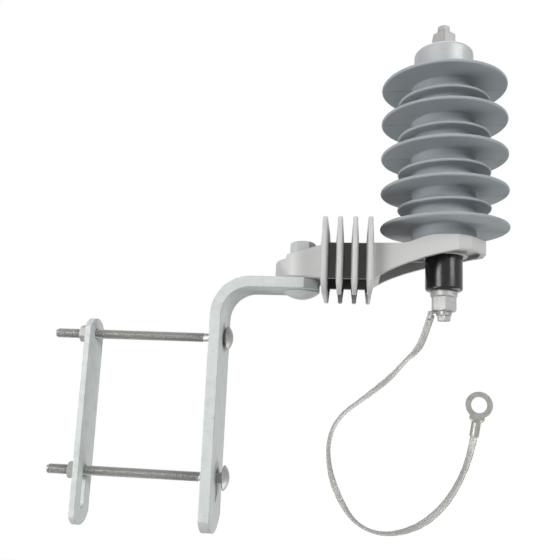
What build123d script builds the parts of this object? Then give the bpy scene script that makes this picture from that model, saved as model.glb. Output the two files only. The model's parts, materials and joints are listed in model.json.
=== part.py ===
"""Distribution surge arrester on an insulating arm, with its cross-arm clamp and ground lead.

Millimetres, +Z up. The origin lies on the strap face that bears on the cross-arm, midway
between the two rods. X runs from the cross-arm out to the arrester, whose axis is vertical.
"""
import os
from math import atan2, cos, pi, radians, sin, sqrt, tan

from build123d import *

# --- cross-arm strap, bent from flat bar ---
STRAP_T = 9.0
STRAP_W = 46.0
STRAP_END_R = 28.0
STRAP_BEND_R = 24.0
STRAP_TOP_Z = 109.0
STRAP_TIP_X = 89.5
LEG_BOTTOM_Z = -102.0
LEG_SLOT_TOP_Z = -50.5
LEG_SLOT_BOTTOM_Z = -78.0

# --- clamp strap and the space for the cross-arm ---
CROSS_ARM_GAP = 105.0
CLAMP_T = 5.0
CLAMP_W = 30.0
CLAMP_END_R = 18.0
CLAMP_TOP_Z = 71.5
CLAMP_BOTTOM_Z = -102.0
CLAMP_SLOT_BOTTOM_Z = -89.0
CLAMP_HOLE_CLEAR = 0.5

# --- rods: M8 carriage bolts, nuts and spring washers ---
ROD_Z = 58.0
ROD_D = 8.0
ROD_LENGTH = 153.0
ROD_HEAD_D = 20.6
ROD_HEAD_H = 5.0
ROD_NECK_H = 6.0
UPPER_ROD_PROUD = 2.5
LOWER_ROD_PROUD = 5.5
ROD_NUT_AF = 13.0
ROD_NUT_H = 6.8
ROD_LOCK_T = 2.2
ROD_LOCK_D = 14.6
UPPER_LOCK_TURN = 70.0
LOWER_LOCK_TURN = 160.0
UPPER_NUT_TURN = 12.0
LOWER_NUT_TURN = 27.0

# --- arm bolt: M12 carriage bolt with washers and nut ---
BOLT_X = 74.0
BOLT_D = 12.0
BOLT_HEAD_D = 30.0
BOLT_HEAD_H = 6.8
BOLT_NECK_H = 7.5
BOLT_NUT_AF = 19.0
BOLT_NUT_H = 11.6
BOLT_NUT_TURN = 3.0
BOLT_WASHER_T = 2.5
BOLT_WASHER_D = 24.0
BOLT_LOCK_T = 3.0
BOLT_LOCK_D = 21.1
BOLT_LOCK_TURN = 200.0
BOLT_STANDOUT = 0.8

NECK_CLEAR = 0.2
THREAD_CLEAR = 0.05
HOLE_CLEAR = 0.5

# --- insulating arm ---
PAD_R = 23.0
PAD_T = 16.8
PAD_WALL_X = 61.5
PAD_WALL_STEP = 2.6
PAD_NOSE_ROUND = 3.5
PAD_FOOT_CHAMFER = 1.2
PAD_RECESS_R = 14.5
CORE_X0 = 91.0
CORE_X1 = 135.5
CORE_W = 60.0
CORE_DROP = 1.5
BEAM_TOP_Z = 138.0
CORE_TOP_DROP = 1.0
TOP_WEB = 6.0
BEAM_W = 54.0
FIN_COUNT = 4
FIN_X0 = 94.3
FIN_PITCH = 12.35
FIN_ROOT_T = 6.0
FIN_TIP_T = 3.9
FIN_TIP_ROUND = 1.4
FIN_W = 86.0
FIN_TOP_Z = 159.2
FIN_BOTTOM_Z = 94.5
FIN_CORNER_R = 14.0
BOSS_TOP_Z = 145.0
BOSS_BOTTOM_Z = 133.6
BOSS_SHOULDER_X = 201.5
BOSS_SHOULDER_W = 66.0
BOSS_CORNER_X = 213.0
BOSS_CORNER_W = 53.0
BOSS_END_X = 227.5
BOSS_END_W = 17.0
BOSS_EDGE_R = 2.5
RISE_START_X = 156.0
RISE_END_X = 187.0
ARM_WALL = 4.5
ARM_WEB = 8.0
SEAT_R = 28.0
BELLY_SHAPE = [(0.28, 0.36), (0.62, 0.66), (1.0, 0.90)]
GUARD_WALL = 3.5
GUARD_DEPTH = 4.5
RIB_T = 3.6

# --- arrester ---
AXIS_X = 194.0
SHED_PITCH = 32.0
SHED_COUNT = 5
SHED_Z0 = 155.0
SHED_R = 54.0
SHED_RIM = 3.0
SHED_RISE = 4.5
SMALL_SHED_R = 39.4
SMALL_SHED_UP = 17.4
SMALL_SHED_RISE = 2.6
TRUNK_R = 27.0
TRUNK_TOP_H = 13.0
TUBE_OD = 44.0
TUBE_ID = 36.0
DISC_D = 34.0
DISC_H = 20.0
DISC_COUNT = 5
BASE_FLANGE_H = 8.0
BASE_SPIGOT_H = 12.0
CONTACT_PLATE_T = 3.0
SPRING_H = 4.5
SPRING_T = 1.5
CAP_R = 25.7
CAP_H = 22.5
CAP_ROUND = 3.6
STUD_D = 12.0
STUD_DEPTH = 12.0
SPIGOT_CLEAR = 0.1

# --- line and ground terminals ---
POST_AF = 19.0
POST_H = 17.5
POST_STUD_D = 10.0
POST_STUD_L = 12.0
SCREW_D = 6.0
SCREW_AF = 10.0
SCREW_HEAD_H = 4.6
SCREW_GRIP = 5.0
SCREW_WASHER_D = 12.5
SCREW_WASHER_T = 1.8
SCREW_LOCK_D = 11.5
SCREW_LOCK_T = 1.8
SCREW_LOCK_TURN = 150.0
COLLAR_R = 11.2
COLLAR_H = 5.0
GROUND_NUT_H = 12.0
LUG_T = 1.6
LUG_R = 6.5

# --- ground lead disconnector ---
DISC_HOUSING_R = 15.5
DISC_HOUSING_WALL = 3.0
DISC_HOUSING_H = 34.0
DISC_HOUSING_FLOOR = 4.0
DISC_HOUSING_ROUND = 2.5
TOP_INSERT_H = 12.0
RESISTOR_H = 15.0
RESISTOR_ID = 12.0
CARTRIDGE_D = 9.0
GROUND_STUD_D = 10.0
GROUND_STUD_DEPTH = 6.5

# --- ground lead: flat tinned-copper braid ---
BRAID_W = 5.4
BARREL_CLEAR = 0.1
BARREL_WALL = 0.9
BARREL_DEPTH = 6.0
LUG_REACH = 9.8
LUG_NECK_W = 7.0
LUG_BARREL_L = 8.0
LUG_LEAN = 16.5
RING_X = 222.0
RING_Z = 10.4
RING_LEAN = 9.8
RING_R = 10.7
RING_HOLE_R = 6.5
RING_T = 2.2
RING_NECK_L = 14.5
RING_BARREL_L = 11.0
FIRST_RUN = 14.0
LAST_RUN = 20.0

# --- derived levels ---
BOSS_WEB_Z = BOSS_TOP_Z - ARM_WEB
HOUSING_TOP_Z = SHED_Z0 + (SHED_COUNT - 1) * SHED_PITCH + TRUNK_TOP_H
CAP_TOP_Z = HOUSING_TOP_Z + CAP_H
PAD_TOP_Z = STRAP_TOP_Z + PAD_T
STRAP_BOTTOM_Z = STRAP_TOP_Z - STRAP_T
DISC_HOUSING_BOTTOM_Z = BOSS_WEB_Z - DISC_HOUSING_H
BASE_TOP_Z = BOSS_TOP_Z + BASE_FLANGE_H
STACK_Z = BASE_TOP_Z + BASE_SPIGOT_H
STACK_TOP_Z = STACK_Z + DISC_COUNT * DISC_H
SPRINGS_Z = STACK_TOP_Z + CONTACT_PLATE_T
SPIGOT_Z = SPRINGS_Z + 2 * SPRING_H
GROUND_NUT_Z = DISC_HOUSING_BOTTOM_Z - COLLAR_H - GROUND_NUT_H
LUG_Z = GROUND_NUT_Z - LUG_T


def cylinder(r, z0, z1, x=0.0, y=0.0):
    """Upright cylinder between two heights."""
    return Pos(x, y, (z0 + z1) / 2) * Cylinder(r, z1 - z0)


def ring(r_out, r_in, z0, z1, x=0.0):
    """Upright tube between two heights."""
    return cylinder(r_out, z0, z1, x) - cylinder(r_in, z0 - 1, z1 + 1, x)


def block(x0, x1, y0, y1, z0, z1):
    """Box between two corners."""
    return Pos((x0 + x1) / 2, (y0 + y1) / 2, (z0 + z1) / 2) * Box(x1 - x0, y1 - y0, z1 - z0)


def turned(points):
    """Solid of revolution about Z from (radius, height) points."""
    outline = make_face(Polyline([(r, 0, z) for r, z in points], close=True))
    return revolve(outline, Axis.Z, 360)


def hex_prism(af, z0, z1, turn=0.0, top=True, bottom=True, x=0.0):
    """Hexagonal prism whose chosen ends carry the usual 30 degree corner chamfer."""
    corner = af / sqrt(3)
    drop = (corner - 0.475 * af) * tan(radians(30))
    top_r = 0.475 * af if top else corner + 0.01
    bottom_r = 0.475 * af if bottom else corner + 0.01
    blank = turned([(0, z0), (bottom_r, z0), (corner + 0.01, z0 + drop),
                    (corner + 0.01, z1 - drop), (top_r, z1), (0, z1)])
    prism = extrude(Rot(0, 0, turn) * RegularPolygon(corner, 6), z1 - z0)
    return Pos(x, 0, 0) * (blank & (Pos(0, 0, z0) * prism))


def hex_nut(af, d, z0, z1, turn=0.0, x=0.0):
    """Hexagon nut with a chamfered, threaded-size bore."""
    bore_r = d / 2 + THREAD_CLEAR
    countersink = turned([(0, 0), (bore_r + 0.7, 0), (bore_r, 0.7), (0, 0.7)])
    nut = hex_prism(af, z0, z1, turn) - cylinder(bore_r, z0 - 1, z1 + 1)
    nut = nut - Pos(0, 0, z0) * countersink - Pos(0, 0, z1) * Rot(180, 0, 0) * countersink
    return Pos(x, 0, 0) * nut


def split_washer(d_out, d, z0, t, turn=0.0, x=0.0):
    """Spring washer pressed flat, with its slanted split."""
    washer = ring(d_out / 2, d / 2 + HOLE_CLEAR / 2, z0, z0 + t)
    split = Rot(25, 0, 0) * Box(d_out, 1.2, 4 * t)
    split = Pos(d_out / 2 + 0.5, 0, z0 + t / 2) * split
    return Pos(x, 0, 0) * Rot(0, 0, turn) * (washer - split)


def domed_head(r, h):
    """Mushroom head below Z = 0: a low dome over a thin rim."""
    rim = 0.18 * h
    rise = h - rim
    dome_r = (r * r + rise * rise) / (2 * rise)
    half = 0.5 * atan2(r, dome_r - rise)
    middle = (dome_r * sin(half), dome_r - h - dome_r * cos(half))
    edge = Line((0, 0), (r, 0)) + Line((r, 0), (r, -rim))
    edge += ThreePointArc((r, -rim), middle, (0, -h)) + Line((0, -h), (0, 0))
    return revolve(Plane.XZ * make_face(edge), Axis.Z, 360)


def carriage_bolt(d, head_d, head_h, neck_h, length):
    """Carriage bolt standing on its head: head below Z = 0, square neck and shank above."""
    shank = cylinder(d / 2, 0, length)
    shank = chamfer(shank.edges().group_by(Axis.Z)[-1], 0.12 * d)
    neck = block(-d / 2, d / 2, -d / 2, d / 2, 0, neck_h)
    return domed_head(head_d / 2, head_h) + neck + shank


def end_trim_x(tip, r, w, z0, z1):
    """What a bar loses where its end is cut to an arc, for an end facing +X."""
    blank = block(tip - r, tip + 5, -w, w, z0 - 1, z1 + 1)
    return blank - cylinder(r, z0 - 2, z1 + 2, tip - r) - block(tip - 2 * r, tip - r, -w, w, z0 - 2, z1 + 2)


def end_trim_z(tip, up, r, w, x0, x1):
    """The same cut for a bar end facing up or down."""
    centre = tip - up * r
    z_lo, z_hi = sorted((centre, tip + 5 * up))
    blank = block(x0 - 1, x1 + 1, -w, w, z_lo, z_hi)
    arc = Pos((x0 + x1) / 2, 0, centre) * Rot(0, 90, 0) * Cylinder(r, x1 - x0 + 4)
    return blank - arc


def slot_x(width, z_lo, z_hi, x0, x1):
    """Round-ended upright slot cut along X."""
    r = width / 2
    ends = [Pos((x0 + x1) / 2, 0, z) * Rot(0, 90, 0) * Cylinder(r, x1 - x0) for z in (z_lo + r, z_hi - r)]
    return block(x0, x1, -r, r, z_lo + r, z_hi - r) + ends[0] + ends[1]


# --- clamp ---
def cross_arm_strap():
    """L-shaped strap: the leg bears on the cross-arm, the top carries the arm."""
    outer = STRAP_BEND_R + STRAP_T
    x1, z0, z1 = STRAP_TIP_X, LEG_BOTTOM_Z, STRAP_TOP_Z
    k = 1 - 1 / sqrt(2)
    edge = Line((0, z0), (0, z1 - outer))
    edge += ThreePointArc((0, z1 - outer), (k * outer, z1 - k * outer), (outer, z1))
    edge += Line((outer, z1), (x1, z1)) + Line((x1, z1), (x1, z1 - STRAP_T))
    edge += Line((x1, z1 - STRAP_T), (outer, z1 - STRAP_T))
    inner_mid = (STRAP_T + k * STRAP_BEND_R, z1 - STRAP_T - k * STRAP_BEND_R)
    edge += ThreePointArc((outer, z1 - STRAP_T), inner_mid, (STRAP_T, z1 - outer))
    edge += Line((STRAP_T, z1 - outer), (STRAP_T, z0)) + Line((STRAP_T, z0), (0, z0))
    bar = extrude(Plane.XZ * make_face(edge), STRAP_W / 2, both=True)
    bar -= end_trim_x(x1, STRAP_END_R, STRAP_W, STRAP_BOTTOM_Z, STRAP_TOP_Z)
    bar -= end_trim_z(z0, -1, STRAP_END_R, STRAP_W, 0, STRAP_T)
    s = BOLT_D / 2 + NECK_CLEAR
    bar -= block(BOLT_X - s, BOLT_X + s, -s, s, STRAP_BOTTOM_Z - 1, STRAP_TOP_Z + 1)
    s = ROD_D / 2 + NECK_CLEAR
    bar -= block(-1, STRAP_T + 1, -s, s, ROD_Z - s, ROD_Z + s)
    bar -= slot_x(2 * s, LEG_SLOT_BOTTOM_Z, LEG_SLOT_TOP_Z, -1, STRAP_T + 1)
    return bar


def clamp_strap():
    """Flat strap behind the cross-arm, with a hole for the upper rod and a slot for the lower."""
    x0, x1 = -CROSS_ARM_GAP - CLAMP_T, -CROSS_ARM_GAP
    bar = block(x0, x1, -CLAMP_W / 2, CLAMP_W / 2, CLAMP_BOTTOM_Z, CLAMP_TOP_Z)
    bar -= end_trim_z(CLAMP_TOP_Z, 1, CLAMP_END_R, CLAMP_W, x0, x1)
    bar -= end_trim_z(CLAMP_BOTTOM_Z, -1, CLAMP_END_R, CLAMP_W, x0, x1)
    r = ROD_D / 2 + CLAMP_HOLE_CLEAR
    bar -= Pos((x0 + x1) / 2, 0, ROD_Z) * Rot(0, 90, 0) * Cylinder(r, CLAMP_T + 2)
    bar -= slot_x(2 * r, CLAMP_SLOT_BOTTOM_Z, -ROD_Z + r, x0 - 1, x1 + 1)
    return bar


def rod(z, proud):
    """M8 carriage bolt lying along -X through the leg."""
    bolt = carriage_bolt(ROD_D, ROD_HEAD_D, ROD_HEAD_H, ROD_NECK_H, ROD_LENGTH)
    return Pos(STRAP_T + proud, 0, z) * Rot(0, -90, 0) * bolt


def rod_lock_washer(z, turn):
    """Spring washer between the clamp strap and the rod's nut."""
    washer = split_washer(ROD_LOCK_D, ROD_D, 0, ROD_LOCK_T, turn)
    return Pos(-CROSS_ARM_GAP - CLAMP_T, 0, z) * Rot(0, -90, 0) * washer


def rod_nut(z, turn):
    """M8 nut behind the clamp strap."""
    nut = hex_nut(ROD_NUT_AF, ROD_D, 0, ROD_NUT_H, turn)
    return Pos(-CROSS_ARM_GAP - CLAMP_T - ROD_LOCK_T, 0, z) * Rot(0, -90, 0) * nut


# --- arm bolt ---
def arm_carriage_bolt():
    """M12 carriage bolt, head under the strap, end just through its nut."""
    length = STRAP_T + PAD_T + BOLT_WASHER_T + BOLT_LOCK_T + BOLT_NUT_H + BOLT_STANDOUT
    bolt = carriage_bolt(BOLT_D, BOLT_HEAD_D, BOLT_HEAD_H, BOLT_NECK_H, length)
    return Pos(BOLT_X, 0, STRAP_BOTTOM_Z) * bolt


def arm_flat_washer():
    r_in = BOLT_D / 2 + HOLE_CLEAR / 2
    return ring(BOLT_WASHER_D / 2, r_in, PAD_TOP_Z, PAD_TOP_Z + BOLT_WASHER_T, BOLT_X)


def arm_lock_washer():
    z0 = PAD_TOP_Z + BOLT_WASHER_T
    return split_washer(BOLT_LOCK_D, BOLT_D, z0, BOLT_LOCK_T, BOLT_LOCK_TURN, BOLT_X)


def arm_hex_nut():
    z0 = PAD_TOP_Z + BOLT_WASHER_T + BOLT_LOCK_T
    return hex_nut(BOLT_NUT_AF, BOLT_D, z0, z0 + BOLT_NUT_H, BOLT_NUT_TURN, BOLT_X)


# --- insulating arm ---
def arm_plan(inset=0.0):
    """Plan of the beam from the fins to the faceted boss, drawn in by the given wall."""
    x0 = CORE_X1 - 3 if inset == 0 else CORE_X1 + ARM_WALL
    half = [(x0, BEAM_W / 2 - inset), (BOSS_SHOULDER_X - 0.3 * inset, BOSS_SHOULDER_W / 2 - inset),
            (BOSS_CORNER_X - 0.7 * inset, BOSS_CORNER_W / 2 - 0.7 * inset), (BOSS_END_X - inset, BOSS_END_W / 2)]
    return make_face(Polyline(half + [(x, -y) for x, y in reversed(half)], close=True))


def arm_beam():
    """Beam and boss: a side profile cut to the plan, rising to the arrester's seat."""
    x0, x1 = CORE_X1 - 3, BOSS_END_X + 1
    rise_mid = ((RISE_START_X + RISE_END_X) / 2, BEAM_TOP_Z + 0.6 * (BOSS_TOP_Z - BEAM_TOP_Z))
    drop = BOSS_BOTTOM_Z - STRAP_TOP_Z
    run = AXIS_X - CORE_X1
    belly = [(CORE_X1 + share * run, STRAP_TOP_Z + rise * drop) for share, rise in BELLY_SHAPE]
    edge = Polyline((x0, STRAP_TOP_Z), (x0, BEAM_TOP_Z), (RISE_START_X, BEAM_TOP_Z))
    edge += Spline((RISE_START_X, BEAM_TOP_Z), rise_mid, (RISE_END_X, BOSS_TOP_Z), tangents=[(1, 0), (1, 0)])
    edge += Polyline((RISE_END_X, BOSS_TOP_Z), (x1, BOSS_TOP_Z), (x1, BOSS_BOTTOM_Z))
    edge += Spline((x1, BOSS_BOTTOM_Z), *reversed(belly), (CORE_X1, STRAP_TOP_Z))
    edge += Line((CORE_X1, STRAP_TOP_Z), (x0, STRAP_TOP_Z))
    side = extrude(Plane.XZ * make_face(edge), FIN_W, both=True)
    beam = side & extrude(Pos(0, 0, STRAP_TOP_Z - 20) * arm_plan(), 80)
    corners = [e for e in beam.edges().filter_by(Axis.Z) if e.center().X > BOSS_CORNER_X - 5]
    beam = fillet(corners, BOSS_EDGE_R)
    return beam + cylinder(SEAT_R, BEAM_TOP_Z - 2, BOSS_TOP_Z, AXIS_X)


def arm_hollow():
    """Open-bottomed space under the beam's top web and the boss."""
    z_web = BEAM_TOP_Z - TOP_WEB
    z_low = STRAP_TOP_Z - 20
    x0, x1, x2, x3 = CORE_X1, RISE_START_X + 2, RISE_START_X + 12, BOSS_END_X
    edge = Polyline((x0, z_low), (x0, z_web), (x1, z_web), (x2, BOSS_WEB_Z), (x3, BOSS_WEB_Z), (x3, z_low), (x0, z_low))
    side = extrude(Plane.XZ * make_face(edge), FIN_W, both=True)
    return side & extrude(Pos(0, 0, z_low) * arm_plan(ARM_WALL), 80)


def arm_end():
    """Pad round the arm bolt, with side walls that climb to the finned core."""
    nose_x = BOLT_X - PAD_R
    wall_z = PAD_TOP_Z + PAD_WALL_STEP
    core_z = BEAM_TOP_Z - CORE_TOP_DROP
    profile = [(nose_x, STRAP_TOP_Z), (nose_x, PAD_TOP_Z), (PAD_WALL_X, PAD_TOP_Z), (PAD_WALL_X + 0.6, wall_z),
               (CORE_X0 - 1, core_z - 0.8), (CORE_X0 + 2, core_z), (CORE_X0 + 2, STRAP_TOP_Z)]
    side = extrude(Plane.XZ * make_face(Polyline(profile, close=True)), FIN_W, both=True)
    z0, z1 = STRAP_TOP_Z - 1, BOSS_TOP_Z
    plan = cylinder(PAD_R, z0, z1, BOLT_X) + block(BOLT_X, CORE_X0 + 2, -PAD_R, PAD_R, z0, z1)
    end = side & plan
    nose = [e for e in end.edges() if e.center().X < PAD_WALL_X - 1 and abs(e.center().Z - PAD_TOP_Z) < 0.01]
    end = fillet(nose, PAD_NOSE_ROUND)
    foot = [e for e in end.edges() if e.center().X < CORE_X0 and abs(e.center().Z - STRAP_TOP_Z) < 0.01]
    end = chamfer(foot, PAD_FOOT_CHAMFER)
    recess = cylinder(PAD_RECESS_R, PAD_TOP_Z, z1, BOLT_X)
    return end - recess - block(nose_x - 1, BOLT_X, -PAD_RECESS_R, PAD_RECESS_R, PAD_TOP_Z, z1)


def rounded_panel(x, w, z0, z1, r):
    """Rounded rectangle standing across the arm at the given X."""
    plane = Plane(origin=(x, 0, (z0 + z1) / 2), x_dir=(0, 1, 0), z_dir=(1, 0, 0))
    return plane * RectangleRounded(w, z1 - z0, r)


def arm_fin(x):
    """One creepage fin: a rounded plate that thickens toward the core."""
    tip, root = FIN_TIP_T / 2, FIN_ROOT_T / 2
    plate = extrude(rounded_panel(x - tip, FIN_W, FIN_BOTTOM_Z, FIN_TOP_Z, FIN_CORNER_R), 2 * tip)
    rims = [e for e in plate.edges() if abs(abs(e.center().X - x) - tip) < 0.01]
    plate = fillet(rims, FIN_TIP_ROUND)
    z0, z1 = STRAP_TOP_Z - CORE_DROP - 2, BEAM_TOP_Z + 2
    for side in (-1, 1):
        outer = rounded_panel(x + side * tip, FIN_W - 6, FIN_BOTTOM_Z + 3, FIN_TOP_Z - 3, FIN_CORNER_R - 3)
        inner = rounded_panel(x + side * root, CORE_W + 4, z0, z1, 5)
        plate += loft([outer, inner])
    return plate


def insulating_arm():
    """One moulding: bolt pad, hollow finned core, tapering beam and round arrester boss."""
    core_low, core_high = STRAP_TOP_Z - CORE_DROP, BEAM_TOP_Z - CORE_TOP_DROP
    arm = arm_end() + block(CORE_X0, CORE_X1, -CORE_W / 2, CORE_W / 2, core_low, core_high)
    arm += arm_beam()
    for i in range(FIN_COUNT):
        arm += arm_fin(FIN_X0 + i * FIN_PITCH)
    inner = CORE_W / 2 - ARM_WALL
    arm -= block(CORE_X0 + ARM_WALL, CORE_X1 - ARM_WALL, -inner, inner, FIN_BOTTOM_Z - 1, core_high - TOP_WEB)
    arm -= arm_hollow()
    guard_r = DISC_HOUSING_R + HOLE_CLEAR
    arm += ring(guard_r + GUARD_WALL, guard_r, BOSS_WEB_Z - GUARD_DEPTH, BOSS_WEB_Z + 1, AXIS_X)
    rib_z = BOSS_WEB_Z - 2 * GUARD_DEPTH
    arm += block(CORE_X1 - ARM_WALL / 2, AXIS_X - guard_r - 1, -RIB_T / 2, RIB_T / 2, rib_z, BEAM_TOP_Z - TOP_WEB / 2)
    arm -= cylinder(BOLT_D / 2 + HOLE_CLEAR, STRAP_TOP_Z - 1, BEAM_TOP_Z, BOLT_X)
    return arm - cylinder(STUD_D / 2 + HOLE_CLEAR, BOSS_BOTTOM_Z - 5, BOSS_TOP_Z + 5, AXIS_X)


# --- arrester ---
def shed_points(r, z, rise):
    """Outline of one shed from its underside at the trunk round to its top at the trunk."""
    return [(TRUNK_R, z + 0.8), (r, z), (r, z + SHED_RIM), (TRUNK_R, z + SHED_RIM + rise)]


def shed_housing():
    """Silicone housing with large and small sheds in turn, moulded as one piece."""
    points = [(TUBE_OD / 2, BOSS_TOP_Z), (TRUNK_R, BOSS_TOP_Z)]
    for i in range(SHED_COUNT):
        z = SHED_Z0 + i * SHED_PITCH
        points += shed_points(SHED_R, z, SHED_RISE)
        if i < SHED_COUNT - 1:
            points += shed_points(SMALL_SHED_R, z + SMALL_SHED_UP, SMALL_SHED_RISE)
    points += [(TRUNK_R, HOUSING_TOP_Z), (TUBE_OD / 2, HOUSING_TOP_Z)]
    outline = make_face(Polyline([(r, z) for r, z in points], close=True))
    rims = [v for v in outline.vertices() if v.X > SMALL_SHED_R - 1]
    outline = fillet(rims, 1.3)
    roots = [v for v in outline.vertices() if abs(v.X - TRUNK_R) < 0.01 and BOSS_TOP_Z + 1 < v.Y < HOUSING_TOP_Z - 1]
    outline = fillet(roots, 2.0)
    return Pos(AXIS_X, 0, 0) * revolve(Plane.XZ * outline, Axis.Z, 360)


def fibreglass_tube():
    return ring(TUBE_OD / 2, TUBE_ID / 2, BASE_TOP_Z, HOUSING_TOP_Z, AXIS_X)


def base_electrode():
    """Lower end fitting with a blind threaded hole for the mounting stud."""
    body = cylinder(TUBE_OD / 2, BOSS_TOP_Z, BASE_TOP_Z, AXIS_X)
    body += cylinder(TUBE_ID / 2 - SPIGOT_CLEAR, BASE_TOP_Z, STACK_Z, AXIS_X)
    return body - cylinder(STUD_D / 2 + THREAD_CLEAR, BOSS_TOP_Z - 1, BOSS_TOP_Z + STUD_DEPTH, AXIS_X)


def varistor_disc(i):
    """Metal-oxide disc, its edges eased."""
    disc = cylinder(DISC_D / 2, STACK_Z + i * DISC_H, STACK_Z + (i + 1) * DISC_H, AXIS_X)
    return chamfer(disc.edges().filter_by(GeomType.CIRCLE), 0.8)


def contact_plate():
    return cylinder(DISC_D / 2, STACK_TOP_Z, SPRINGS_Z, AXIS_X)


def contact_springs():
    """Two coned disc springs, back to back, that hold the stack tight."""
    r1, r0 = DISC_D / 2 - 1, 8.5
    rise = SPRING_H - SPRING_T
    cone = turned([(r0, rise), (r1, 0), (r1, SPRING_T), (r0, SPRING_H)])
    upper = Pos(AXIS_X, 0, SPIGOT_Z) * Rot(180, 0, 0) * cone
    return Compound(children=[Pos(AXIS_X, 0, SPRINGS_Z) * cone, upper])


def top_cap():
    """Upper end fitting: spigot inside the tube, round-shouldered cap above the housing."""
    cap = cylinder(CAP_R, HOUSING_TOP_Z, CAP_TOP_Z)
    cap = fillet(cap.edges().group_by(Axis.Z)[-1], CAP_ROUND)
    cap += cylinder(TUBE_ID / 2 - SPIGOT_CLEAR, SPIGOT_Z, HOUSING_TOP_Z)
    hole_z = CAP_TOP_Z - POST_STUD_L
    return Pos(AXIS_X, 0, 0) * (cap - cylinder(POST_STUD_D / 2 + THREAD_CLEAR, hole_z, CAP_TOP_Z + 1))


# --- terminals ---
def hex_screw(z_seat, up):
    """M6 hexagon screw whose head bears on z_seat; up is +1 for a head on top."""
    head = hex_prism(SCREW_AF, 0, SCREW_HEAD_H, 30, top=True, bottom=False)
    shank = cylinder(SCREW_D / 2, -(SCREW_GRIP + SCREW_WASHER_T + SCREW_LOCK_T), 0)
    screw = head + shank
    return Pos(AXIS_X, 0, z_seat) * (screw if up > 0 else Rot(180, 0, 0) * screw)


def line_terminal_post():
    """Hexagon post whose stud screws into the cap and whose top takes the line screw."""
    post = hex_prism(POST_AF, CAP_TOP_Z, CAP_TOP_Z + POST_H, 30, bottom=False)
    post += cylinder(POST_STUD_D / 2, CAP_TOP_Z - POST_STUD_L + 1, CAP_TOP_Z)
    hole_z = CAP_TOP_Z + POST_H - SCREW_GRIP - 0.5
    post -= cylinder(SCREW_D / 2 + THREAD_CLEAR, hole_z, CAP_TOP_Z + POST_H + 1)
    return Pos(AXIS_X, 0, 0) * post


def line_flat_washer():
    z0 = CAP_TOP_Z + POST_H
    return ring(SCREW_WASHER_D / 2, SCREW_D / 2 + HOLE_CLEAR / 2, z0, z0 + SCREW_WASHER_T, AXIS_X)


def line_lock_washer():
    z0 = CAP_TOP_Z + POST_H + SCREW_WASHER_T
    return split_washer(SCREW_LOCK_D, SCREW_D, z0, SCREW_LOCK_T, SCREW_LOCK_TURN, AXIS_X)


def mounting_stud():
    """M12 stud through the arm's web, joining the arrester to the disconnector."""
    return cylinder(STUD_D / 2, BOSS_WEB_Z - STUD_DEPTH + 1, BOSS_TOP_Z + STUD_DEPTH - 1, AXIS_X)


# --- ground lead disconnector ---
def disconnector_housing():
    """Black moulded cup under the boss, open at the top round its metal insert."""
    r = DISC_HOUSING_R
    cup = cylinder(r, DISC_HOUSING_BOTTOM_Z, BOSS_WEB_Z)
    cup = fillet(cup.edges().group_by(Axis.Z)[0], DISC_HOUSING_ROUND)
    cup -= cylinder(r - DISC_HOUSING_WALL, DISC_HOUSING_BOTTOM_Z + DISC_HOUSING_FLOOR, BOSS_WEB_Z + 1)
    cup -= cylinder(GROUND_STUD_D / 2 + THREAD_CLEAR, DISC_HOUSING_BOTTOM_Z - 1, BOSS_WEB_Z)
    return Pos(AXIS_X, 0, 0) * cup


def disconnector_insert():
    """Upper terminal of the disconnector, threaded for the mounting stud."""
    r = DISC_HOUSING_R - DISC_HOUSING_WALL - SPIGOT_CLEAR
    insert = cylinder(r, BOSS_WEB_Z - TOP_INSERT_H, BOSS_WEB_Z, AXIS_X)
    return insert - cylinder(STUD_D / 2 + THREAD_CLEAR, BOSS_WEB_Z - STUD_DEPTH + 1, BOSS_WEB_Z + 1, AXIS_X)


def grading_resistor():
    """Ring that keeps the cartridge from firing in service."""
    r = DISC_HOUSING_R - DISC_HOUSING_WALL - SPIGOT_CLEAR
    z1 = BOSS_WEB_Z - TOP_INSERT_H
    return ring(r, RESISTOR_ID / 2, z1 - RESISTOR_H, z1, AXIS_X)


def release_cartridge():
    z1 = BOSS_WEB_Z - TOP_INSERT_H
    return cylinder(CARTRIDGE_D / 2, z1 - RESISTOR_H, z1, AXIS_X)


def ground_stud():
    """Lower stud of the disconnector, its flange on the housing's floor."""
    z_floor = DISC_HOUSING_BOTTOM_Z + DISC_HOUSING_FLOOR
    r = DISC_HOUSING_R - DISC_HOUSING_WALL - SPIGOT_CLEAR
    stud = cylinder(r, z_floor, BOSS_WEB_Z - TOP_INSERT_H - RESISTOR_H, AXIS_X)
    z0 = GROUND_NUT_Z + GROUND_NUT_H - GROUND_STUD_DEPTH
    return stud + cylinder(GROUND_STUD_D / 2, z0, z_floor, AXIS_X)


def ground_collar():
    z1 = DISC_HOUSING_BOTTOM_Z
    collar = ring(COLLAR_R, GROUND_STUD_D / 2 + THREAD_CLEAR, z1 - COLLAR_H, z1, AXIS_X)
    return chamfer(collar.edges().group_by(Axis.Z)[0].sort_by(SortBy.RADIUS)[-1], 0.8)


def ground_terminal_nut():
    """Hexagon terminal: screwed on the ground stud above, tapped for the lead's screw below."""
    z0, z1 = GROUND_NUT_Z, GROUND_NUT_Z + GROUND_NUT_H
    nut = hex_prism(POST_AF, z0, z1, 30, top=False)
    nut -= cylinder(GROUND_STUD_D / 2 + THREAD_CLEAR, z1 - GROUND_STUD_DEPTH, z1 + 1)
    nut -= cylinder(SCREW_D / 2 + THREAD_CLEAR, z0 - 1, z0 + SCREW_GRIP + 0.2)
    return Pos(AXIS_X, 0, 0) * nut


def ground_clamp_washer():
    r_in = SCREW_D / 2 + HOLE_CLEAR / 2
    return ring(SCREW_WASHER_D / 2, r_in, LUG_Z - SCREW_WASHER_T, LUG_Z, AXIS_X)


# --- ground lead ---
def tube_along(start, direction, length, r):
    """Round bar from a point along a direction."""
    return extrude(Plane(origin=start, z_dir=direction) * Circle(r), length)


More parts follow.
